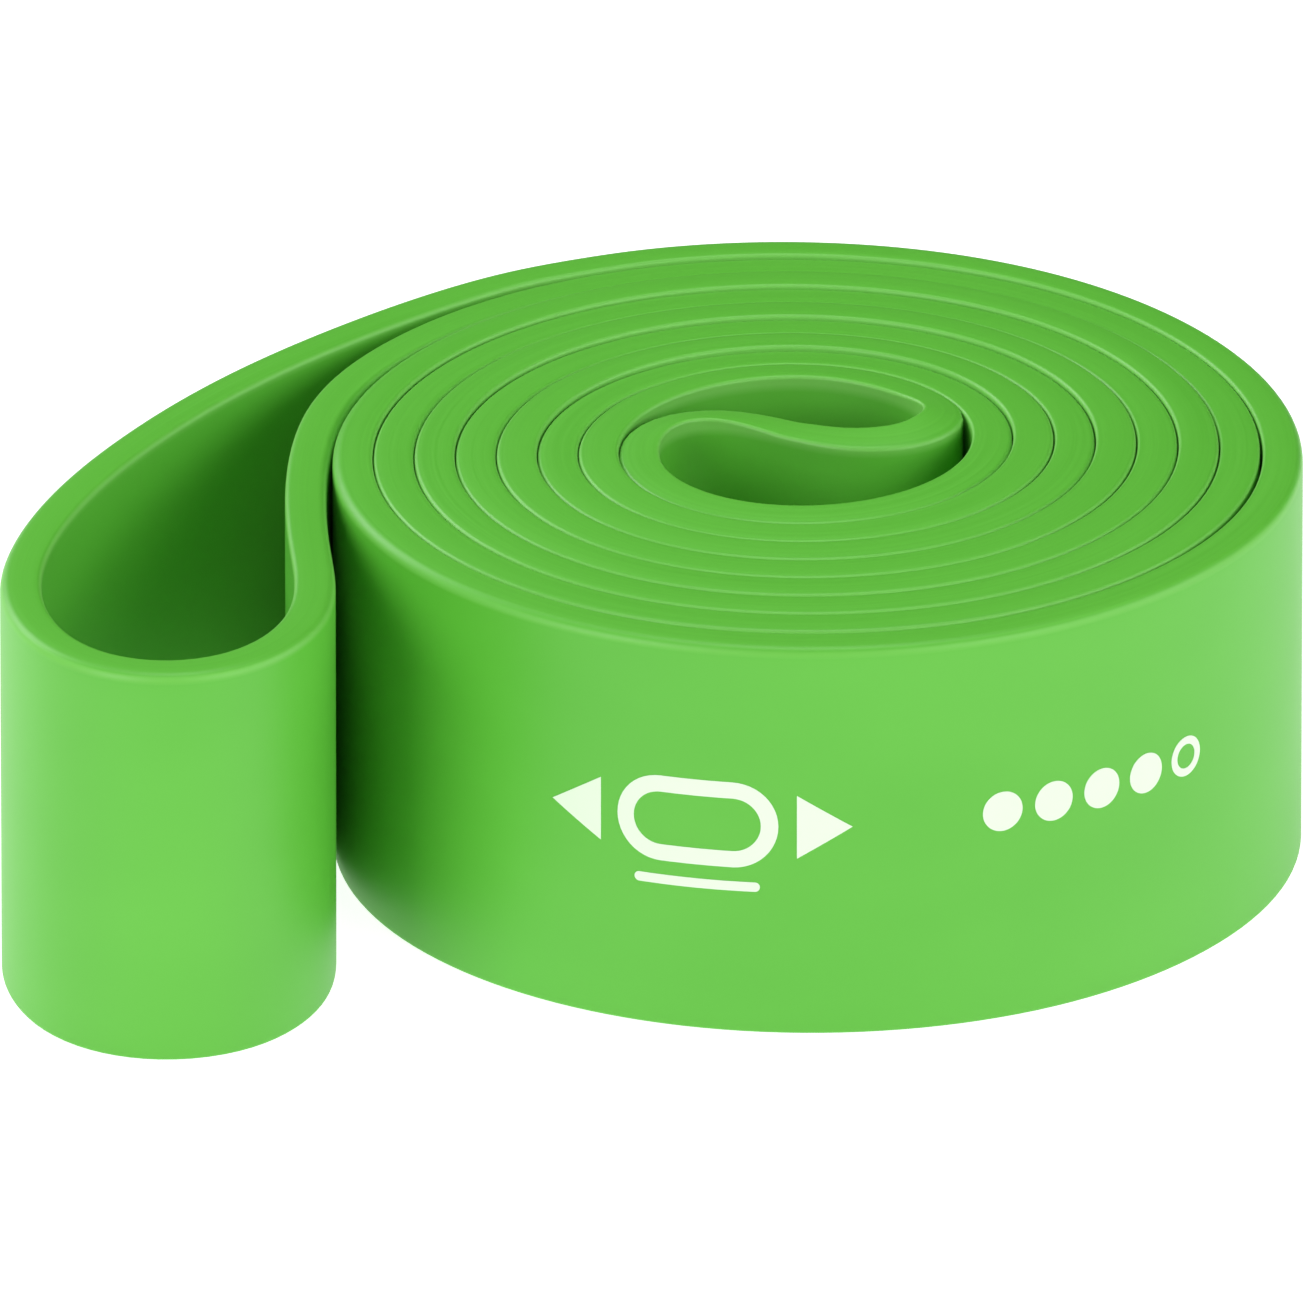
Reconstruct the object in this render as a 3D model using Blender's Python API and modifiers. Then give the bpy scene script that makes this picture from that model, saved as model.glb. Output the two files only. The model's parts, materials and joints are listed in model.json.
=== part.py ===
"""Looped latex resistance band, laid double and rolled up, with its end loop standing open.

The band is one endless strip of bonded latex plies standing on its lower edge.  Both
strands of the doubled loop leave the outer wrap together and wind inwards side by side,
turn back on each other in the eye of the coil, and form an open loop at the left.
The plies are modelled as groups, and the strip is divided where the roll peels open.
Metres, +Z up; +X points from the end loop to the coil, and the strip rests on z = 0.
"""
import math

import bmesh
import bpy
import numpy as np

MM = 0.001

# The strip.
BAND_WIDTH = 45.3 * MM
BAND_THICKNESS = 4.1 * MM
PLY_GROUPS = ("inner", "middle", "outer")
PLY_GROUP_GAP = 0.25 * MM

# The coil: two strands side by side, each moving in by two pitches a turn.
TURN_GAP = 0.38 * MM
COIL_OUTER_RADIUS = 54.6 * MM       # outer face of the outermost strand, at angle 0
COIL_STEP_DEG = 10
CUT_STEP_DEG = 1                    # a short step that squares a strip's cut end
RISE_AT_EYE = 1.5 * MM              # the inner turns stand a little proud of the rim
RISE_START_RADIUS = 51.0 * MM
RISE_END_RADIUS = 18.0 * MM
RISE_POWER = 0.75                   # below 1, so that most of the rise is near the rim

# A hand-wound roll isn't quite round: the inner turns are oval and sit a little off centre,
# as seen with the eye facing its usual way, and the outer turns are pressed flatter at one place.
OVALITY = 0.9 * MM
EYE_DRIFT = (-0.25 * MM, -0.3 * MM)
FLAT_DEPTH = 0.35 * MM
FLAT_DEG = 42
FLAT_SPREAD_DEG = 22
FLAT_FADES_OVER = 8.0 * MM

# Where each strand runs free of the coil, in degrees wound anticlockwise from +X.
OUTER_STRAND_LEAVES = 112
INNER_STRAND_JOINS = 140
EYE_PITCHES = 4.15                  # radius at which the outer strand leaves for the eye
EYE_SPAN_DEG = 112                  # from there round to where the inner strand comes in

# The eye's points are in eye radii, with the outer strand leaving the winding at EYE_FACES_DEG.
EYE_ROUTE = ((0.742, 0.617), (0.853, 0.376), (0.704, 0.118), (0.333, 0.048),
             (-0.108, 0.247), (-0.446, 0.371), (-0.688, 0.323), (-0.871, 0.116))
EYE_FACES_DEG = 76
EYE_ROUTE_STEP = 1.8 * MM

# The open loop's points: an angle round the coil, and the distance in pitches by which the
# strip stands off the outermost wound turn there. It leaves at two pitches and joins at one.
END_LOOP_ROUTE = ((122.7, 2.16), (143.1, 2.52), (163.1, 3.77), (176.6, 5.3), (195.9, 8.39),
                  (206.5, 9.81), (216.2, 9.82), (219.7, 8.97), (222.0, 7.42), (219.8, 4.55),
                  (204.5, 2.02), (181.0, 1.05), (160.7, 1.05))
END_LOOP_STEP = 4.0 * MM

# Living hinges of the roll, each on the outer strand's outer face.
WRAP_HINGE_DEG = 30
LOOP_HINGE_DEG = 112
HINGE_GAP = 0.3 * MM

# Printed marks on the front of the coil's wall.
PRINT_THICKNESS = 0.3 * MM
PRINT_GAP = 0.12 * MM
PRINT_HEIGHT = 24.5 * MM            # middle of the marks above the lower edge
EMBLEM_DEG = -102
RING_LENGTH = 18.0 * MM
RING_HEIGHT = 10.0 * MM
RING_WALL = 1.9 * MM
ARROW_LENGTH = 6.0 * MM
ARROW_HEIGHT = 7.4 * MM
ARROW_GAP = 2.0 * MM
RULE_LENGTH = 14.0 * MM
RULE_HEIGHT = 1.1 * MM
RULE_DROP = 2.2 * MM
LEVEL_DEG = -52
LEVEL_DOTS = 5
LEVELS_FILLED = 4
DOT_DIAMETER = 4.6 * MM
DOT_PITCH = 6.1 * MM
DOT_WALL = 0.9 * MM
CURVE_POINTS = 12                   # points on each half circle of a mark
FLAT_STEP = 2.0 * MM                # between points on a mark's straight sides

SMOOTH_BELOW_DEG = 40               # edges blunter than this are shaded smooth
SAME_POINT = 0.01 * MM

LATEX_COLOUR = (0.13, 0.56, 0.05, 1.0)
LATEX_ROUGHNESS = 0.5
INK_COLOUR = (0.86, 0.93, 0.82, 1.0)
INK_ROUGHNESS = 0.6

PITCH = BAND_THICKNESS + TURN_GAP
OUTERMOST_LINE = COIL_OUTER_RADIUS - BAND_THICKNESS / 2
GROUP_THICKNESS = (BAND_THICKNESS - (len(PLY_GROUPS) - 1) * PLY_GROUP_GAP) / len(PLY_GROUPS)
EYE_RADIUS = EYE_PITCHES * PITCH
OUTER_STRAND_ENDS = 180 * (EYE_RADIUS - OUTERMOST_LINE) / PITCH
INNER_STRAND_ENDS = OUTER_STRAND_ENDS + EYE_SPAN_DEG
EYE_TURNED = math.radians((OUTER_STRAND_ENDS - EYE_FACES_DEG) % 360)
EYE_ACROSS = np.array((math.cos(EYE_TURNED), math.sin(EYE_TURNED)))
EYE_BACK = np.array((-math.sin(EYE_TURNED), math.cos(EYE_TURNED)))


# ---------------------------------------------------------------- the strip's path

def coil_points(angle_deg, strand):
    """Centreline of strand 0 (outer) or 1 (inner) at wound angles."""
    angle_deg = np.asarray(angle_deg, dtype=float)
    turned = np.radians(angle_deg)
    radius = OUTERMOST_LINE + PITCH * (angle_deg / 180 - strand)
    depth = OUTERMOST_LINE - radius
    off_flat = (angle_deg - FLAT_DEG + 180) % 360 - 180
    pressed = FLAT_DEPTH * np.exp(-(off_flat / FLAT_SPREAD_DEG) ** 2 - np.abs(depth) / FLAT_FADES_OVER)
    depth_share = depth / COIL_OUTER_RADIUS
    reach = radius + OVALITY * depth_share * np.sin(2 * (turned - EYE_TURNED)) - pressed
    spiral = reach[..., None] * np.stack((np.cos(turned), np.sin(turned)), axis=-1)
    return spiral + depth_share[..., None] * (EYE_DRIFT[0] * EYE_ACROSS + EYE_DRIFT[1] * EYE_BACK)


def coil_direction(angle_deg, strand):
    """Unit tangent of a strand, towards growing angles."""
    near = coil_points((angle_deg - CUT_STEP_DEG / 2, angle_deg + CUT_STEP_DEG / 2), strand)
    along = near[1] - near[0]
    return along / np.linalg.norm(along)


def outer_face(angle_deg, standoff=0.0):
    """A point on the outer strand's outer face, or standing off it."""
    along = coil_direction(angle_deg, 0)
    outward = np.array((along[1], -along[0]))
    return coil_points(angle_deg, 0) + (BAND_THICKNESS / 2 + standoff) * outward


def beside_coil(angle_deg, pitches):
    """A point that stands off the outermost wound turn by a number of pitches."""
    turn = coil_points(angle_deg - 360, 0)
    return turn * (1 + pitches * PITCH / np.linalg.norm(turn))


def wound_angles(first, last, cut_first, cut_last):
    """Angles from first to last with every whole step between, and no sliver at the ends."""
    low, high = min(first, last), max(first, last)
    steps = np.arange(math.ceil(low / COIL_STEP_DEG), math.floor(high / COIL_STEP_DEG) + 1)
    inside = steps * float(COIL_STEP_DEG)
    margin = COIL_STEP_DEG / 4
    inside = list(inside[(inside > low + margin) & (inside < high - margin)])
    onward = 1 if last > first else -1
    if onward < 0:
        inside.reverse()
    if cut_first:
        inside.insert(0, first + onward * CUT_STEP_DEG)
    if cut_last:
        inside.append(last - onward * CUT_STEP_DEG)
    return np.array([first, *inside, last], dtype=float)


def smooth_route(points, start_direction, end_direction, step):
    """Points about one step apart on the smooth curve through the given ones."""
    knots = np.asarray(points, dtype=float)
    span = np.linalg.norm(np.diff(knots, axis=0), axis=1)
    count = len(knots)
    system = np.zeros((count, count))
    target = np.zeros((count, 2))
    system[0, 0] = system[-1, -1] = 1.0
    target[0], target[-1] = start_direction, end_direction
    for i in range(1, count - 1):
        before, after = 1 / span[i - 1], 1 / span[i]
        system[i, i - 1:i + 2] = before, 2 * (before + after), after
        target[i] = 3 * ((knots[i] - knots[i - 1]) * before ** 2
                         + (knots[i + 1] - knots[i]) * after ** 2)
    slopes = np.linalg.solve(system, target)
    route = [knots[0]]
    for i in range(count - 1):
        pieces = max(1, round(span[i] / step))
        for t in np.arange(1, pieces + 1) / pieces:
            route.append((2 * t ** 3 - 3 * t ** 2 + 1) * knots[i]
                         + (3 * t ** 2 - 2 * t ** 3) * knots[i + 1]
                         + (t ** 3 - 2 * t ** 2 + t) * span[i] * slopes[i]
                         + (t ** 3 - t ** 2) * span[i] * slopes[i + 1])
    return np.array(route)


def eye_run():
    """The inner bend: the outer strand turns back and becomes the inner strand."""
    ends = (coil_points(OUTER_STRAND_ENDS, 0), coil_points(INNER_STRAND_ENDS, 1))
    eye_points = [EYE_RADIUS * (x * EYE_ACROSS + y * EYE_BACK) for x, y in EYE_ROUTE]
    points = np.vstack((ends[0], eye_points, ends[1]))
    return smooth_route(points, -coil_direction(OUTER_STRAND_ENDS, 0),
                        coil_direction(INNER_STRAND_ENDS, 1), EYE_ROUTE_STEP)


def end_loop_run():
    """The open loop, from the outer strand's end round to the inner strand's."""
    ends = (coil_points(OUTER_STRAND_LEAVES, 0), coil_points(INNER_STRAND_JOINS, 1))
    points = np.vstack((ends[0], [beside_coil(*place) for place in END_LOOP_ROUTE], ends[1]))
    return smooth_route(points, coil_direction(OUTER_STRAND_LEAVES, 0),
                        -coil_direction(INNER_STRAND_JOINS, 1), END_LOOP_STEP)


def wound_run(first, last, strand, cut_first=False, cut_last=False):
    return coil_points(wound_angles(first, last, cut_first, cut_last), strand)


def half_gap_deg(angle_deg):
    """Half a hinge's gap, as an angle at the strip's outer face."""
    return math.degrees(HINGE_GAP / 2 / np.linalg.norm(coil_points(angle_deg, 0)))


def join_runs(*runs):
    """Runs end to end, their shared points once."""
    return np.vstack([runs[0]] + [run[1:] for run in runs[1:]])


def cut_runs():
    """The strip's centreline in the order of travel, divided at the two hinges.

    Travel starts in the coil on the inner strand, goes in through the eye and out along the
    outer strand, and comes back through the end loop, so right is always the band's outside.
    """
    wrap_cut, loop_cut = half_gap_deg(WRAP_HINGE_DEG), half_gap_deg(LOOP_HINGE_DEG)
    coil_end, wrap_start = WRAP_HINGE_DEG - wrap_cut, WRAP_HINGE_DEG + wrap_cut
    wrap_end, loop_start = LOOP_HINGE_DEG - loop_cut, LOOP_HINGE_DEG + loop_cut
    coil = join_runs(wound_run(coil_end, INNER_STRAND_ENDS, 1, cut_first=True),
                     eye_run()[::-1],
                     wound_run(OUTER_STRAND_ENDS, coil_end, 0, cut_last=True))
    outer_wrap = wound_run(wrap_start, wrap_end, 0, cut_first=True, cut_last=True)
    inner_wrap = wound_run(wrap_end, wrap_start, 1, cut_first=True, cut_last=True)
    end_loop = np.vstack((coil_points((loop_start, loop_start + CUT_STEP_DEG), 0),
                          end_loop_run()[1:-1],
                          wound_run(INNER_STRAND_JOINS, loop_start, 1, cut_last=True)))
    return {"coil": coil, "wrap_outer_strand": outer_wrap,
            "wrap_inner_strand": inner_wrap, "end_loop": end_loop}


def offset_run(run, distance):
    """The run moved to its left by a distance, with the corners mitred."""
    along = np.diff(run, axis=0)
    along /= np.linalg.norm(along, axis=1)[:, None]
    left = np.stack((-along[:, 1], along[:, 0]), axis=-1)
    before = np.vstack((left[:1], left))
    after = np.vstack((left, left[-1:]))
    mitre = before + after
    mitre *= 2 / (mitre ** 2).sum(axis=1)[:, None]
    return run + distance * mitre


def middle_of(runs):
    """Middle of the box round the strip's faces, in plan."""
    faces = np.vstack([offset_run(run, side * BAND_THICKNESS / 2)
                       for run in runs for side in (-1, 1)])
    return (faces.min(axis=0) + faces.max(axis=0)) / 2


RUNS = cut_runs()
COIL_CENTRE = -middle_of(RUNS.values())            # puts the whole part over the origin


def rise_of(points):
    """How far the strip's lower edge stands above the floor, by distance from the centre."""
    radius = np.linalg.norm(points, axis=1)
    inward = (RISE_START_RADIUS - radius) / (RISE_START_RADIUS - RISE_END_RADIUS)
    return RISE_AT_EYE * np.clip(inward, 0, 1) ** RISE_POWER


# ---------------------------------------------------------------- objects

def empty_scene():
    for item in list(bpy.data.objects):
        bpy.data.objects.remove(item, do_unlink=True)


def make_material(name, colour, roughness):
    material = bpy.data.materials.new(name)
    material.use_nodes = True
    shader = material.node_tree.nodes["Principled BSDF"]
    shader.inputs["Base Color"].default_value = colour
    shader.inputs["Roughness"].default_value = roughness
    shader.inputs["Metallic"].default_value = 0.0
    material.diffuse_color = colour
    return material


def add_object(name, work, collection, material, parent, pivot):
    """An object from a bmesh whose points are given about the pivot."""
    mesh = bpy.data.meshes.new(name)
    work.to_mesh(mesh)
    work.free()
    mesh.materials.append(material)
    item = bpy.data.objects.new(name, mesh)
    collection.objects.link(item)
    item.parent = parent
    if parent is None:
        item.location = (*pivot, 0)
    return item


def add_strip(name, run, offset, collection, material, parent, pivot):
    """One ply group along a run: an upright ribbon given its thickness by Solidify."""
    line = offset_run(run, offset) + COIL_CENTRE - pivot
    work = bmesh.new()
    foot = [work.verts.new((x, y, z)) for (x, y), z in zip(line, rise_of(run))]
    edges = [work.edges.new(pair) for pair in zip(foot, foot[1:])]
    raised = bmesh.ops.extrude_edge_only(work, edges=edges)["geom"]
    tops = [part for part in raised if isinstance(part, bmesh.types.BMVert)]
    bmesh.ops.translate(work, verts=tops, vec=(0, 0, BAND_WIDTH))
    bmesh.ops.recalc_face_normals(work, faces=work.faces)
    item = add_object(name, work, collection, material, parent, pivot)
    item.data.shade_smooth()
    item.data.set_sharp_from_angle(angle=math.radians(SMOOTH_BELOW_DEG))
    wall = item.modifiers.new("ply_thickness", "SOLIDIFY")
    wall.thickness = GROUP_THICKNESS
    wall.offset = 0
    wall.use_even_offset = True
    return item


def add_band_section(prefix, run, collection, materials, parent, pivot):
    """All ply groups of one run. The outer group is on the right of the run's direction."""
    spacing = GROUP_THICKNESS + PLY_GROUP_GAP
    middle = (len(PLY_GROUPS) - 1) / 2
    for index, group in enumerate(PLY_GROUPS):
        add_strip(f"{prefix}_{group}_plies", run, (middle - index) * spacing,
                  collection, materials[group], parent, pivot)


def rounded_bar(length, height):
    """Outline of a bar with half-round ends, with points along its straight sides too."""
    radius = height / 2
    straight = length / 2 - radius
    outline = []
    for side in (1, -1):
        for i in range(CURVE_POINTS + 1):
            turned = math.pi * (i / CURVE_POINTS - 0.5)
            outline.append((side * (straight + radius * math.cos(turned)),
                            side * radius * math.sin(turned)))
        pieces = max(1, round(2 * straight / FLAT_STEP))
        for i in range(1, pieces):
            outline.append((side * straight * (1 - 2 * i / pieces), side * radius))
    return outline if straight > 0 else remove_repeats(outline)


def remove_repeats(outline):
    kept = []
    for point in outline:
        if all(math.dist(point, other) > SAME_POINT for other in kept):
            kept.append(point)
    return kept


def on_wall(along, up, out, centre_deg):
    """A point of a mark, laid on the coil's outer face and standing off it by the print gap."""
    angle = centre_deg + math.degrees(along / np.linalg.norm(outer_face(centre_deg)))
    return *outer_face(angle, PRINT_GAP + out), PRINT_HEIGHT + up


def add_mark(name, outline, hole, place, collection, material):
    """A printed patch: an outline, or the rim between an outline and its hole."""
    centre_deg, shift_along, shift_up = place
    work = bmesh.new()
    rings = []
    for ring in (outline, hole):
        for out in (0, PRINT_THICKNESS):
            rings.append([work.verts.new(on_wall(u + shift_along, v + shift_up, out, centre_deg))
                          for u, v in ring])
    inner_rim, outer_rim, inner_hole, outer_hole = rings

    def join(first, second):
        for i in range(len(first)):
            j = (i + 1) % len(first)
            work.faces.new((first[i], first[j], second[j], second[i]))

    join(inner_rim, outer_rim)
    if hole:
        join(outer_rim, outer_hole)
        join(outer_hole, inner_hole)
        join(inner_hole, inner_rim)
    else:
        fill_with_triangles(work, outer_rim)
        fill_with_triangles(work, inner_rim[::-1])
    bmesh.ops.recalc_face_normals(work, faces=work.faces)
    bmesh.ops.translate(work, verts=work.verts, vec=(*COIL_CENTRE, 0))
    return add_object(name, work, collection, material, None, (0, 0))


def fill_with_triangles(work, ring):
    """Fills a ring with flat triangles between its points, so that the patch keeps the wall's bend."""
    bmesh.ops.triangulate(work, faces=[work.faces.new(ring)])


def add_emblem(collection, material):
    """A ring between two outward arrows, the sign for a loop that stretches, and a rule."""
    ring = rounded_bar(RING_LENGTH, RING_HEIGHT)
    straight = RING_LENGTH / 2 - RING_HEIGHT / 2
    bore = RING_HEIGHT / 2 - RING_WALL
    hole = []
    for u, v in ring:
        centre = max(-straight, min(straight, u))
        reach = math.hypot(u - centre, v)
        hole.append((centre + (u - centre) * bore / reach, v * bore / reach))
    add_mark("print_loop_ring", ring, hole, (EMBLEM_DEG, 0, 0), collection, material)
    for side, name in ((-1, "print_arrow_left"), (1, "print_arrow_right")):
        near = side * (RING_LENGTH / 2 + ARROW_GAP)
        tip = near + side * ARROW_LENGTH
        arrow = [(near, -ARROW_HEIGHT / 2), (tip, 0), (near, ARROW_HEIGHT / 2)]
        add_mark(name, arrow, [], (EMBLEM_DEG, 0, 0), collection, material)
    drop = -(RING_HEIGHT / 2 + RULE_DROP)
    add_mark("print_rule", rounded_bar(RULE_LENGTH, RULE_HEIGHT), [],
             (EMBLEM_DEG, 0, drop), collection, material)


def add_level_dots(collection, material):
    """A row of dots that shows the band's strength: filled up to its level, open above."""
    dot = rounded_bar(DOT_DIAMETER, DOT_DIAMETER)
    bore = 1 - 2 * DOT_WALL / DOT_DIAMETER
    hole = [(u * bore, v * bore) for u, v in dot]
    for index in range(LEVEL_DOTS):
        shift = (index - (LEVEL_DOTS - 1) / 2) * DOT_PITCH
        add_mark(f"print_level_dot_{index + 1}", dot, [] if index < LEVELS_FILLED else hole,
                 (LEVEL_DEG, shift, 0), collection, material)


def add_hinge(name, angle_deg, collection, parent, parent_pivot):
    """An empty on the outer strand's outer face, which the moving strips are parented to."""
    pivot = COIL_CENTRE + outer_face(angle_deg)
    hinge = bpy.data.objects.new(name, None)
    hinge.parent = parent
    hinge.location = (*(pivot - parent_pivot), 0)
    collection.objects.link(hinge)
    return hinge, pivot


def main():
    empty_scene()
    collection = bpy.data.collections.new("resistance_band")
    bpy.context.scene.collection.children.link(collection)
    materials = {group: make_material(f"latex_{group}_plies", LATEX_COLOUR, LATEX_ROUGHNESS)
                 for group in PLY_GROUPS}
    ink = make_material("white_ink", INK_COLOUR, INK_ROUGHNESS)
    centre = np.zeros(2)

    wrap_hinge, wrap_pivot = add_hinge("wrap_hinge", WRAP_HINGE_DEG, collection, None, centre)
    loop_hinge, loop_pivot = add_hinge("loop_hinge", LOOP_HINGE_DEG, collection,
                                       wrap_hinge, wrap_pivot)
    carriers = {"coil": (None, centre), "wrap_outer_strand": (wrap_hinge, wrap_pivot),
                "wrap_inner_strand": (wrap_hinge, wrap_pivot),
                "end_loop": (loop_hinge, loop_pivot)}
    for prefix, run in RUNS.items():
        add_band_section(prefix, run, collection, materials, *carriers[prefix])
    add_emblem(collection, ink)
    add_level_dots(collection, ink)


main()
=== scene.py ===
"""Looks of a looped latex resistance band, laid double and rolled up, its end loop open.

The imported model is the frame.  The strip is drawn again along the same wound line, with the
rounded, leaning edges of real cut latex, and printed marks are laid on its outer wall.
"""
import json
import math

import bmesh
import bpy
import numpy as np
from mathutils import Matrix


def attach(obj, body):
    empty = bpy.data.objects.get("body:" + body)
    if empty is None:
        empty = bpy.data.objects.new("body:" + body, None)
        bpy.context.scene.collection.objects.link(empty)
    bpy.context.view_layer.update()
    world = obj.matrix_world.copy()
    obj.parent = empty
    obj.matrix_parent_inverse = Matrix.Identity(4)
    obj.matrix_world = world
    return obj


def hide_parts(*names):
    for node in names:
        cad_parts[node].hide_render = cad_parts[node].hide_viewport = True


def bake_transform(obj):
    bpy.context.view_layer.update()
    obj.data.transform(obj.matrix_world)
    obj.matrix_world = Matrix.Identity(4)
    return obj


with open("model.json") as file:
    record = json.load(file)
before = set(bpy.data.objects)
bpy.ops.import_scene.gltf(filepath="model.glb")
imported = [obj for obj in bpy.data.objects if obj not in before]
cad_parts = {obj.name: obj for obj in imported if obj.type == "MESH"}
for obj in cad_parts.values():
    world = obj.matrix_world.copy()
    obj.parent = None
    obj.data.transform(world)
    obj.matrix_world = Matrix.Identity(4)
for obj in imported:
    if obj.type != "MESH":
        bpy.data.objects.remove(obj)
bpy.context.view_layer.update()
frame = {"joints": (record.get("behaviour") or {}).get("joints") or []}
bpy.ops.object.select_all(action="DESELECT")
MM = 0.001


# ---------------------------------------------------------------- the wound line
# The band is one endless strip laid double.  Two strands leave the outer wrap and wind
# inwards side by side, turn back on each other in the eye, and part into the end loop.
# Lengths here are millimetres about the coil's centre, and angles are wound degrees from +X.

BAND_WIDTH = 45.3
PITCH = 4.48
OUTER_RADIUS = 54.6
MODEL_THICKNESS = 4.1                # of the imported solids, whose middle line this follows
OUTER_LINE = OUTER_RADIUS - MODEL_THICKNESS / 2
WRAP_HINGE, LOOP_HINGE = 30, 112
OUTER_STRAND_LEAVES, INNER_STRAND_JOINS = 112, 140
OUTER_STRAND_ENDS, INNER_STRAND_ENDS = -1364, -1252
EYE_ROUTE = ((14.0, 11.7), (15.9, 7.0), (13.1, 2.2), (6.2, 0.9),
             (-2.0, 4.6), (-8.3, 6.9), (-12.8, 6.0), (-16.2, 2.15))
END_LOOP_ROUTE = ((-30.4, 47.3), (-46.7, 35.0), (-61.6, 18.7), (-71.3, 4.15), (-82.5, -23.55),
                  (-83.0, -41.4), (-75.1, -54.9), (-68.7, -57.1), (-61.2, -55.2),
                  (-53.4, -44.5), (-52.6, -24.0), (-52.8, -0.9), (-49.3, 17.3))
STATION_STEP = 1.5

# A hand-wound roll isn't quite round: the inner turns are oval and a little off centre, the
# back right is pressed flatter, and the last turn stands off a little at the right.
OVALITY = 0.9
EYE_DRIFT = (-0.25, -0.3)
FLAT_DEPTH, FLAT_DEG, FLAT_SPREAD_DEG, FLAT_FADES_OVER = 0.46, 34, 26, 8.0
SLACK, SLACK_DEG, SLACK_SPREAD_DEG = 0.3, -14, 20


def wound_point(angle, strand):
    """Where a strand's middle line is at a wound angle: strand 0 is the outer one, 1 the inner."""
    angle = np.asarray(angle, float)
    turned = np.radians(angle)
    radius = OUTER_LINE + PITCH * (angle / 180 - strand)
    depth = OUTER_LINE - radius
    off_flat = (angle - FLAT_DEG + 180) % 360 - 180
    pressed = FLAT_DEPTH * np.exp(-(off_flat / FLAT_SPREAD_DEG) ** 2
                                  - np.abs(depth) / FLAT_FADES_OVER)
    slack = SLACK * (1 - strand) * np.exp(-((angle - SLACK_DEG) / SLACK_SPREAD_DEG) ** 2)
    share = depth / OUTER_RADIUS
    reach = radius + OVALITY * share * np.sin(2 * turned) - pressed + slack
    spiral = reach[..., None] * np.stack((np.cos(turned), np.sin(turned)), axis=-1)
    return spiral + share[..., None] * np.array(EYE_DRIFT)


def wound_heading(angle, strand):
    """Unit direction of a strand at an angle, the way it winds outwards."""
    ahead = wound_point(angle + 0.01, strand) - wound_point(angle - 0.01, strand)
    return ahead / np.linalg.norm(ahead)


def wound_steps(first, last):
    """Angles from first to last, about a station apart on the strip."""
    middle_radius = np.linalg.norm(wound_point((first + last) / 2, 0))
    count = round(abs(last - first) * math.radians(middle_radius) / STATION_STEP)
    return np.linspace(first, last, count)


def smooth_route(points, heading_in, heading_out):
    """Stations on the smooth curve through the points, with its direction set at both ends."""
    knots = np.asarray(points, float)
    span = np.linalg.norm(np.diff(knots, axis=0), axis=1)
    system = np.zeros((len(knots), len(knots)))
    target = np.zeros((len(knots), 2))
    system[0, 0] = system[-1, -1] = 1
    target[0], target[-1] = heading_in, heading_out
    for i in range(1, len(knots) - 1):
        before, after = 1 / span[i - 1], 1 / span[i]
        system[i, i - 1:i + 2] = before, 2 * (before + after), after
        target[i] = 3 * ((knots[i] - knots[i - 1]) * before ** 2
                         + (knots[i + 1] - knots[i]) * after ** 2)
    slopes = np.linalg.solve(system, target)
    route = []
    for i, length in enumerate(span):
        count = max(2, round(length / STATION_STEP))
        t = (np.arange(count) / count)[:, None]
        route.append((2 * t ** 3 - 3 * t ** 2 + 1) * knots[i]
                     + (3 * t ** 2 - 2 * t ** 3) * knots[i + 1]
                     + (t ** 3 - 2 * t ** 2 + t) * length * slopes[i]
                     + (t ** 3 - t ** 2) * length * slopes[i + 1])
    return np.vstack((*route, knots[-1:]))


def smooth_step(value, low, high):
    """Rises smoothly from 0 at low to 1 at high."""
    share = np.clip((value - low) / (high - low), 0, 1)
    return share * share * (3 - 2 * share)


# One closed walk round the loop: in on the inner strand, through the eye, out on the outer
# strand, and back through the end loop, so that right is always the band's outside.
eye_points = np.vstack((wound_point(INNER_STRAND_ENDS, 1), EYE_ROUTE[::-1],
                        wound_point(OUTER_STRAND_ENDS, 0)))
eye_line = smooth_route(eye_points, -wound_heading(INNER_STRAND_ENDS, 1),
                        wound_heading(OUTER_STRAND_ENDS, 0))
loop_points = np.vstack((wound_point(OUTER_STRAND_LEAVES, 0), END_LOOP_ROUTE,
                         wound_point(INNER_STRAND_JOINS, 1)))
loop_line = smooth_route(loop_points, wound_heading(OUTER_STRAND_LEAVES, 0),
                         -wound_heading(INNER_STRAND_JOINS, 1))
legs = [("inner strand", wound_steps(WRAP_HINGE, INNER_STRAND_ENDS)),
        ("eye", eye_line),
        ("outer strand", wound_steps(OUTER_STRAND_ENDS, WRAP_HINGE)),
        ("outer wrap", wound_steps(WRAP_HINGE, LOOP_HINGE)),
        ("end loop", loop_line),
        ("inner join", wound_steps(INNER_STRAND_JOINS, LOOP_HINGE)),
        ("inner wrap", wound_steps(LOOP_HINGE, WRAP_HINGE))]
line, on_outer, last_station = [], [], {}
for leg, steps in legs:
    if leg in ("eye", "end loop"):
        points = steps
        share = np.linspace(0, 1, len(steps))
        outer_share = share if leg == "eye" else 1 - share
    else:
        strand = 0 if leg.startswith("outer") else 1
        points = wound_point(steps, strand)
        outer_share = np.full(len(steps), 1.0 - strand)
    line.extend(points if not line else points[1:])
    on_outer.extend(outer_share if not on_outer else outer_share[1:])
    last_station[leg] = len(line) - 1
line, on_outer = np.array(line), np.array(on_outer)

step = np.roll(line[:-1], -1, axis=0) - line[:-1]
step_length = np.linalg.norm(step, axis=1)
along = np.concatenate(([0], np.cumsum(step_length)))
ahead = step / step_length[:, None]
heading = ahead + np.roll(ahead, 1, axis=0)
heading /= np.linalg.norm(heading, axis=1)[:, None]
heading = np.vstack((heading, heading[:1]))
right = np.stack((heading[:, 1], -heading[:, 0]), axis=-1)

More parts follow.
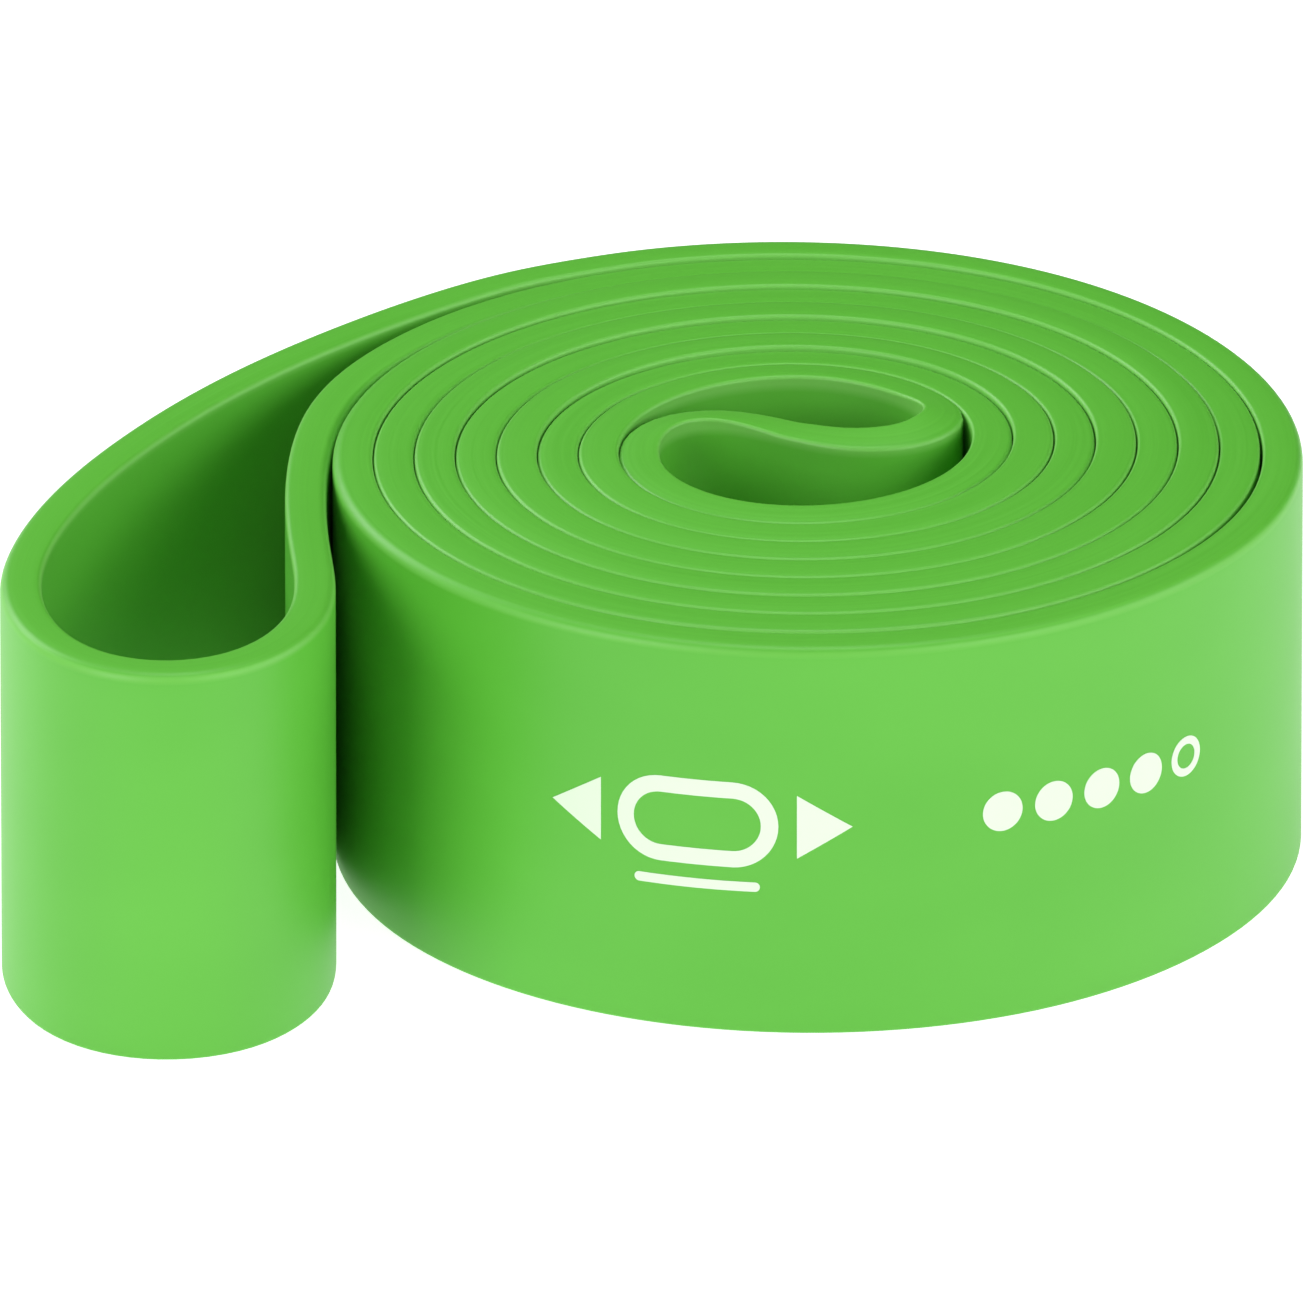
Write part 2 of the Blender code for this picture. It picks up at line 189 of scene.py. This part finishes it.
# How sharply the strip turns to its right, evened out over a few millimetres.
bearing = np.unwrap(np.arctan2(heading[:, 1], heading[:, 0]))
SMOOTHED_OVER = 5.0
before = np.interp(along - SMOOTHED_OVER, along, bearing)
after = np.interp(along + SMOOTHED_OVER, along, bearing)
reach = np.minimum(along + SMOOTHED_OVER, along[-1]) - np.maximum(along - SMOOTHED_OVER, 0)
bend_right = (before - after) / reach


# ---------------------------------------------------------------- the strip's cross-section
# Layered latex cut with a blade: flat walls, crisp corners where the turns press together
# and softer ones on the free rim.  Bending makes the edge on the inside of a bend stand higher.

COIL_THICKNESS = 4.34
LOOP_THICKNESS = 4.48
RISE_AT_EYE = 1.1
RISE_START, RISE_END = 51.0, 18.0    # radii between which the turns rise, by this power
RISE_POWER = 0.75
COIL_EDGE_LIFT = 1.9                 # lift across the strip, per unit of bend and of width
LOOP_EDGE_LIFT = 0.3
SEAM_CORNER = 0.42
RIM_CORNER = 1.0
FOOT_CORNER = 0.4
CROWN = 0.14
LOOSE_CORNER = 0.2                   # how much softer the free loop's inner corners are
WALL_STARTS, WALL_ENDS = 0.5, 2.0    # the walls' own rings, above the foot and below the top
SLIGHT_BEND = 0.004                  # keeps the top's peak from changing abruptly where straight
CORNER_STEPS = 6
TOP_STEPS = 6

radius = np.linalg.norm(line, axis=1)
inward = np.clip((RISE_START - radius) / (RISE_START - RISE_END), 0, 1)
rise = RISE_AT_EYE * inward ** RISE_POWER
LOOP_FREES_OVER = 25                 # how far the strip takes to change to its free shape
free_from = along[last_station["outer wrap"]]
free_to = along[last_station["end loop"]]
is_free = (smooth_step(along, free_from, free_from + LOOP_FREES_OVER)
           * (1 - smooth_step(along, free_to - LOOP_FREES_OVER, free_to)))
thickness = COIL_THICKNESS + (LOOP_THICKNESS - COIL_THICKNESS) * is_free
edge_lift = COIL_EDGE_LIFT + (LOOP_EDGE_LIFT - COIL_EDGE_LIFT) * is_free

# The outermost turn's wall is the rim, from where the wrap closes over it to the loop's end.
RIM_BEGINS_DEG = -225
RIM_FADES_IN = 20
RIM_FADES_OUT_FROM, RIM_FADES_OUT_TO = 30, 5     # before the loop's end
rim_from = (along[last_station["outer strand"]]
            - math.radians(WRAP_HINGE - RIM_BEGINS_DEG) * OUTER_RADIUS)
rim = (smooth_step(along, rim_from, rim_from + RIM_FADES_IN)
       * (1 - smooth_step(along, free_to - RIM_FADES_OUT_FROM, free_to - RIM_FADES_OUT_TO)))
right_corner = SEAM_CORNER + (RIM_CORNER - SEAM_CORNER) * rim
left_corner = SEAM_CORNER + LOOSE_CORNER * is_free

# The outer strand rides a little higher than its partner, most at the back of the roll.
RIDES_UP, RIDES_UP_AT_BACK = 0.16, 0.20
polar = np.arctan2(line[:, 1], line[:, 0])
strand_shift = on_outer * (RIDES_UP + RIDES_UP_AT_BACK * np.sin(polar)) * (1 - is_free)


def section_ring(i):
    """One closed ring of (across, up) round the strip at a station, from the left foot up."""
    half = thickness[i] / 2
    lean = edge_lift[i] * bend_right[i]
    peak = edge_lift[i] * math.hypot(bend_right[i], SLIGHT_BEND) * half

    def top(across):
        crown = CROWN * (1 - (across / half) ** 2)
        return BAND_WIDTH + strand_shift[i] + peak + lean * across + crown

    turn = np.linspace(0, math.pi / 2, CORNER_STEPS + 1)
    foot_across = -half + FOOT_CORNER * (1 - np.cos(turn))
    foot_up = FOOT_CORNER * (1 - np.sin(turn))
    left_across = -half + left_corner[i] * (1 - np.cos(turn))
    right_across = half - right_corner[i] * (1 - np.cos(turn))
    left_up = top(left_across) - left_corner[i] * (1 - np.sin(turn))
    right_up = top(right_across) - right_corner[i] * (1 - np.sin(turn))
    middle = np.linspace(left_across[-1], right_across[-1], TOP_STEPS + 1)[1:-1]
    wall = np.array((FOOT_CORNER + WALL_STARTS, BAND_WIDTH / 2, BAND_WIDTH - WALL_ENDS))
    across = np.concatenate((foot_across[::-1], np.full(3, -half), left_across, middle,
                             right_across[::-1], np.full(3, half), -foot_across))
    up = np.concatenate((foot_up[::-1], wall, left_up, top(middle), right_up[::-1],
                         wall[::-1], foot_up))
    return across, up


# The wrap's hinge is on the roll's outer face, this far from the coil's centre.
HINGE_REACH = 55.1
hinge = np.array(frame["joints"][0]["pos_m"][:2])
hinge_turned = math.radians(WRAP_HINGE)
coil_centre = hinge - HINGE_REACH * MM * np.array((math.cos(hinge_turned), math.sin(hinge_turned)))


def strip(name, first, last):
    """The solid strip between two stations, with its place along, across and up kept on it."""
    mesh = bmesh.new()
    place = mesh.verts.layers.float_vector.new("band_place")
    rings = []
    for i in range(first, last + 1):
        across, up = section_ring(i)
        spot = line[i] + across[:, None] * right[i]
        ring = []
        for j, (x, y) in enumerate(spot):
            vert = mesh.verts.new((x * MM + coil_centre[0], y * MM + coil_centre[1],
                                   (up[j] + rise[i]) * MM))
            vert[place] = (across[j], up[j], along[i])
            ring.append(vert)
        rings.append(ring)
    count = len(rings[0])
    for ring, following in zip(rings, rings[1:]):
        for j in range(count):
            k = (j + 1) % count
            mesh.faces.new((ring[j], ring[k], following[k], following[j]))
    ends = [mesh.faces.new(rings[0][::-1]), mesh.faces.new(rings[-1])]
    bmesh.ops.recalc_face_normals(mesh, faces=mesh.faces)
    for face in mesh.faces:
        face.smooth = True
    for end in ends:
        end.smooth = False
        for edge in end.edges:
            edge.smooth = False
    data = bpy.data.meshes.new(name)
    mesh.to_mesh(data)
    mesh.free()
    item = bpy.data.objects.new(name, data)
    bpy.context.scene.collection.objects.link(item)
    return item


# ---------------------------------------------------------------- latex
# Green layered latex.  The cut edges show the hair-fine layers as lines that run with the
# strip, and the walls are smooth with a soft, slightly powdery sheen.

class Wire:
    """A node's output socket that takes part in arithmetic."""

    def __init__(self, tree, socket):
        self.tree, self.socket = tree, socket

    def math(self, operation, a, b):
        return node(self.tree, "ShaderNodeMath", {"operation": operation}, {0: a, 1: b})

    def __add__(self, other):
        return self.math("ADD", self, other)

    def __mul__(self, other):
        return self.math("MULTIPLY", self, other)

    __radd__, __rmul__ = __add__, __mul__


def node(tree, kind, settings=None, inputs=None, output=0):
    """Adds a node, applies its settings, feeds its inputs, and returns one output."""
    made = tree.nodes.new(kind)
    for key, value in (settings or {}).items():
        setattr(made, key, value)
    for key, value in (inputs or {}).items():
        if isinstance(value, Wire):
            tree.links.new(value.socket, made.inputs[key])
        else:
            made.inputs[key].default_value = value
    return Wire(tree, made.outputs[output])


DEEP_GREEN = (0.075, 0.41, 0.020, 1)
LIGHT_GREEN = (0.135, 0.54, 0.052, 1)
# Painted highlight: this paler green is painted on the top corners for the light they catch, not
# worn into them.
HIGHLIGHT_GREEN = (0.30, 0.72, 0.17, 1)
HIGHLIGHT_SHARE = 0.4
HIGHLIGHT_SLOPE, HIGHLIGHT_OFFSET = 3.2, -5.9  # how the painted highlight grows with the distance across
HIGHLIGHT_DEPTH, HIGHLIGHT_FADE = 1.1, 1.1     # how far below the top it starts, and its slope
BUMP_DEPTH = 0.04 * MM
latex = bpy.data.materials.new("layered_latex")
latex.use_nodes = True
tree = latex.node_tree
surface = tree.nodes["Principled BSDF"]
spot = node(tree, "ShaderNodeAttribute", {"attribute_type": "GEOMETRY",
                                          "attribute_name": "band_place"}, output="Vector")
stretched = node(tree, "ShaderNodeVectorMath", {"operation": "MULTIPLY"},
                 {0: spot, 1: (3.4, 0.02, 0.012)})
plies = node(tree, "ShaderNodeTexNoise", {"noise_dimensions": "3D"},
             {"Vector": stretched, "Scale": 1.0, "Detail": 3.0, "Roughness": 0.6})
patch = node(tree, "ShaderNodeVectorMath", {"operation": "MULTIPLY"},
             {0: spot, 1: (0.2, 0.05, 0.03)})
mottle = node(tree, "ShaderNodeTexNoise", {"noise_dimensions": "3D"},
              {"Vector": patch, "Scale": 1.0, "Detail": 2.0})
tone = plies * 0.7 + mottle * 0.3
green = node(tree, "ShaderNodeMix", {"data_type": "RGBA"},
             {0: tone, 6: DEEP_GREEN, 7: LIGHT_GREEN}, output=2)

# Painted highlight: the top corners of the strip and the top millimetre of its walls are painted
# paler than the faces, standing in for the light they catch.
across = node(tree, "ShaderNodeSeparateXYZ", {}, {0: spot}, output="X")
up = Wire(tree, across.socket.node.outputs["Y"])
off_middle = node(tree, "ShaderNodeMath", {"operation": "ABSOLUTE"}, {0: across})
near_corner = node(tree, "ShaderNodeMath", {"operation": "MULTIPLY_ADD", "use_clamp": True},
                   {0: off_middle, 1: HIGHLIGHT_SLOPE, 2: HIGHLIGHT_OFFSET})
near_top = node(tree, "ShaderNodeMath", {"operation": "MULTIPLY_ADD", "use_clamp": True},
                {0: up, 1: HIGHLIGHT_FADE, 2: HIGHLIGHT_FADE * (HIGHLIGHT_DEPTH - BAND_WIDTH)})
painted_highlight = near_corner * near_top * HIGHLIGHT_SHARE
skin = node(tree, "ShaderNodeMix", {"data_type": "RGBA"},
            {0: painted_highlight, 6: green, 7: HIGHLIGHT_GREEN}, output=2)
tree.links.new(skin.socket, surface.inputs["Base Color"])
rough = 0.42 + plies * 0.12
tree.links.new(rough.socket, surface.inputs["Roughness"])
bump = node(tree, "ShaderNodeBump", {},
            {"Strength": 0.25, "Distance": BUMP_DEPTH, "Height": plies})
tree.links.new(bump.socket, surface.inputs["Normal"])
surface.inputs["IOR"].default_value = 1.5


# ---------------------------------------------------------------- coil
# The wound roll, from the wrap's hinge in through the eye and out again: one length of strip.

coil = strip("coil_band", 0, last_station["outer strand"])
coil.data.materials.append(latex)
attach(coil, "coil")
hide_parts("coil_inner_plies", "coil_middle_plies", "coil_outer_plies")


# ---------------------------------------------------------------- outer wrap
# The last stretch of both strands over the back of the roll, one length of strip for each.

PEEL_LENGTH = 42 * MM


def bend_from(hinge_deg, length):
    """Where a bend starts and ends, from a hinge's plane along the strip."""
    start = wound_point(hinge_deg, 0) * MM + coil_centre
    end = start + wound_heading(hinge_deg, 0) * length
    middle = BAND_WIDTH / 2 * MM
    return (*start, middle), (*end, middle)


start, end = bend_from(WRAP_HINGE, PEEL_LENGTH)
for strand, first, last in (
        ("outer_strand", last_station["outer strand"], last_station["outer wrap"]),
        ("inner_strand", last_station["inner join"], last_station["inner wrap"])):
    wrap = strip(f"wrap_{strand}_band", first, last)
    wrap.data.materials.append(latex)
    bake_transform(wrap)
    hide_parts(*(f"wrap_{strand}_{group}_plies" for group in ("inner", "middle", "outer")))


# ---------------------------------------------------------------- end loop
# The open bight that a hand, foot or anchor goes through.  It starts where the two
# strands part at the back of the roll.

SWING_LENGTH = 42 * MM
end_loop = strip("end_loop_band", last_station["outer wrap"], last_station["inner join"])
end_loop.data.materials.append(latex)
start, end = bend_from(LOOP_HINGE, SWING_LENGTH)
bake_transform(end_loop)
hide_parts(*(f"end_loop_{group}_plies" for group in ("inner", "middle", "outer")))


# ---------------------------------------------------------------- printed marks
# White ink printed on the front of the roll's wall: a loop between two arrows with a rule
# under it, and a row of dots for the band's strength.  Each is a thin film bent to the wall.

PRINT_MIDDLE = 24.5
FILM = 0.06
FILM_SINKS = 0.02
INK_STEP = 1.0                       # the film is cut this often, so that it bends with the wall
CUT_SHIFT = 0.013                    # keeps the cuts off the outlines' own points
ink = bpy.data.materials.new("white_ink")
ink.use_nodes = True
ink_surface = ink.node_tree.nodes["Principled BSDF"]
ink_surface.inputs["Base Color"].default_value = (0.74, 0.87, 0.68, 1)
ink_surface.inputs["Roughness"].default_value = 0.5


def rounded_bar(length, height, inset=0.0):
    """Outline of a bar with half-round ends, drawn in by an inset."""
    straight, bend = (length - height) / 2, height / 2 - inset
    turns = np.linspace(-math.pi / 2, math.pi / 2, 25)
    return [(side * (straight + bend * math.cos(turn)), side * bend * math.sin(turn))
            for side in (1, -1) for turn in turns]


def printed(name, outline, hole, centre_deg, shift=0.0, lift=0.0):
    """A film with the outline and hole, bent to the wall about a wound angle."""
    mesh = bmesh.new()
    rims = []
    for ring in filter(None, (outline, hole)):
        verts = [mesh.verts.new((u, v, 0)) for u, v in ring]
        rims += [mesh.edges.new((verts[j - 1], verts[j])) for j in range(len(verts))]
    bmesh.ops.remove_doubles(mesh, verts=mesh.verts, dist=1e-4)
    bmesh.ops.triangle_fill(mesh, edges=mesh.edges, use_beauty=True)
    reach = max(abs(u) for u, v in outline)
    for cut in np.arange(-math.floor(reach), math.floor(reach) + 1) * INK_STEP:
        geometry = mesh.verts[:] + mesh.edges[:] + mesh.faces[:]
        bmesh.ops.bisect_plane(mesh, geom=geometry, plane_co=(cut + CUT_SHIFT, 0, 0),
                               plane_no=(1, 0, 0), dist=1e-5)
    front = mesh.faces[:]
    bmesh.ops.recalc_face_normals(mesh, faces=front)
    if front[0].normal.z < 0:
        bmesh.ops.reverse_faces(mesh, faces=front)
    bmesh.ops.solidify(mesh, geom=front, thickness=FILM)
    for vert in mesh.verts:
        angle = centre_deg + math.degrees((vert.co.x + shift) / OUTER_LINE)
        wound = wound_heading(angle, 0)
        outward = np.array((wound[1], -wound[0]))
        stand_off = COIL_THICKNESS / 2 - FILM_SINKS + abs(vert.co.z)
        x, y = (wound_point(angle, 0) + stand_off * outward) * MM + coil_centre
        vert.co = (x, y, (PRINT_MIDDLE + vert.co.y + lift) * MM)
    bmesh.ops.recalc_face_normals(mesh, faces=mesh.faces)
    data = bpy.data.meshes.new(name)
    mesh.to_mesh(data)
    mesh.free()
    item = bpy.data.objects.new(name, data)
    bpy.context.scene.collection.objects.link(item)
    item.data.materials.append(ink)
    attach(item, "coil")
    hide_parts(name)
    item.name = name + "_film"


EMBLEM_DEG = -102
RING_LENGTH, RING_HEIGHT, RING_STROKE = 18, 10, 1.9
ARROW_FOOT, ARROW_LENGTH, ARROW_HALF_HEIGHT = 11.0, 6.0, 3.7
RULE_LENGTH, RULE_HEIGHT, RULE_LIFT = 14, 1.1, -7.2
LEVEL_DEG = -52
DOTS, DOTS_FILLED = 5, 4
DOT_SIZE, DOT_STROKE, DOT_SPACING = 4.6, 0.9, 6.1

printed("print_loop_ring", rounded_bar(RING_LENGTH, RING_HEIGHT),
        rounded_bar(RING_LENGTH, RING_HEIGHT, RING_STROKE), EMBLEM_DEG)
for side, name in ((-1, "print_arrow_left"), (1, "print_arrow_right")):
    foot = side * ARROW_FOOT
    arrow = [(foot, -ARROW_HALF_HEIGHT), (foot + side * ARROW_LENGTH, 0), (foot, ARROW_HALF_HEIGHT)]
    printed(name, arrow, None, EMBLEM_DEG)
printed("print_rule", rounded_bar(RULE_LENGTH, RULE_HEIGHT), None, EMBLEM_DEG, lift=RULE_LIFT)
for dot in range(DOTS):
    hole = rounded_bar(DOT_SIZE, DOT_SIZE, DOT_STROKE) if dot >= DOTS_FILLED else None
    printed(f"print_level_dot_{dot + 1}", rounded_bar(DOT_SIZE, DOT_SIZE), hole, LEVEL_DEG,
            shift=(dot - DOTS // 2) * DOT_SPACING)


# ---------------------------------------------------------------- floor, light and camera
# A plain white floor and surround, with large soft lights above, in front, at the right and
# at the back left.

FLOOR_SIZE, FLOOR_GREY, FLOOR_GLOW = 6, 0.5, 0.9
bpy.ops.mesh.primitive_plane_add(size=FLOOR_SIZE, location=(0, 0, 0))
floor = bpy.context.object
floor.name = "floor"
paper = bpy.data.materials.new("white_floor")
paper.use_nodes = True
paper_surface = paper.node_tree.nodes["Principled BSDF"]
paper_surface.inputs["Base Color"].default_value = (*[FLOOR_GREY] * 3, 1)
paper_surface.inputs["Roughness"].default_value = 1.0
paper_surface.inputs["Emission Color"].default_value = (1, 1, 1, 1)
paper_surface.inputs["Emission Strength"].default_value = FLOOR_GLOW
floor.data.materials.append(paper)

SURROUND_LIGHT = 0.03                # it's white to look at, and hardly a light itself
world = bpy.data.worlds.new("surround")
bpy.context.scene.world = world
world.use_nodes = True
backdrop = world.node_tree.nodes["Background"]
backdrop.inputs["Color"].default_value = (1, 1, 1, 1)
seen = node(world.node_tree, "ShaderNodeLightPath", output="Is Camera Ray")
strength = seen * (1 - SURROUND_LIGHT) + SURROUND_LIGHT
world.node_tree.links.new(strength.socket, backdrop.inputs["Strength"])

LIGHT_SIZE = 0.5
for name, place, power in (("front_left_light", (-0.6, -0.6, 0.45), 4.2),
                           ("front_right_light", (0.6, -0.6, 0.45), 3.2),
                           ("right_light", (0.9, 0, 0.35), 2.4),
                           ("top_light", (0, 0, 0.9), 3.3),
                           ("back_left_light", (-0.6, 0.5, 0.45), 4.0)):
    light = bpy.data.lights.new(name, "AREA")
    light.shape, light.size, light.energy = "SQUARE", LIGHT_SIZE, power
    item = bpy.data.objects.new(name, light)
    bpy.context.scene.collection.objects.link(item)
    item.location = place
    item.rotation_mode = "QUATERNION"
    item.rotation_quaternion = item.location.to_track_quat("Z", "Y")

VIEW_ELEVATION = math.radians(24)
VIEW_WIDTH = 141.3 * MM
AIM_ACROSS, AIM_HEIGHT = -15.73 * MM, 21.84 * MM
camera_data = bpy.data.cameras.new("camera")
camera_data.lens, camera_data.sensor_width = 1700, 36
camera = bpy.data.objects.new("camera", camera_data)
bpy.context.scene.collection.objects.link(camera)
distance = camera_data.lens / camera_data.sensor_width * VIEW_WIDTH
look_at = (coil_centre[0] + AIM_ACROSS, coil_centre[1], AIM_HEIGHT)
camera.location = (look_at[0], look_at[1] - distance * math.cos(VIEW_ELEVATION),
                   look_at[2] + distance * math.sin(VIEW_ELEVATION))
camera.rotation_euler = (math.pi / 2 - VIEW_ELEVATION, 0, 0)
camera_data.clip_start, camera_data.clip_end = 0.1, 20
bpy.context.scene.camera = camera
bpy.context.scene.view_settings.view_transform = "Standard"
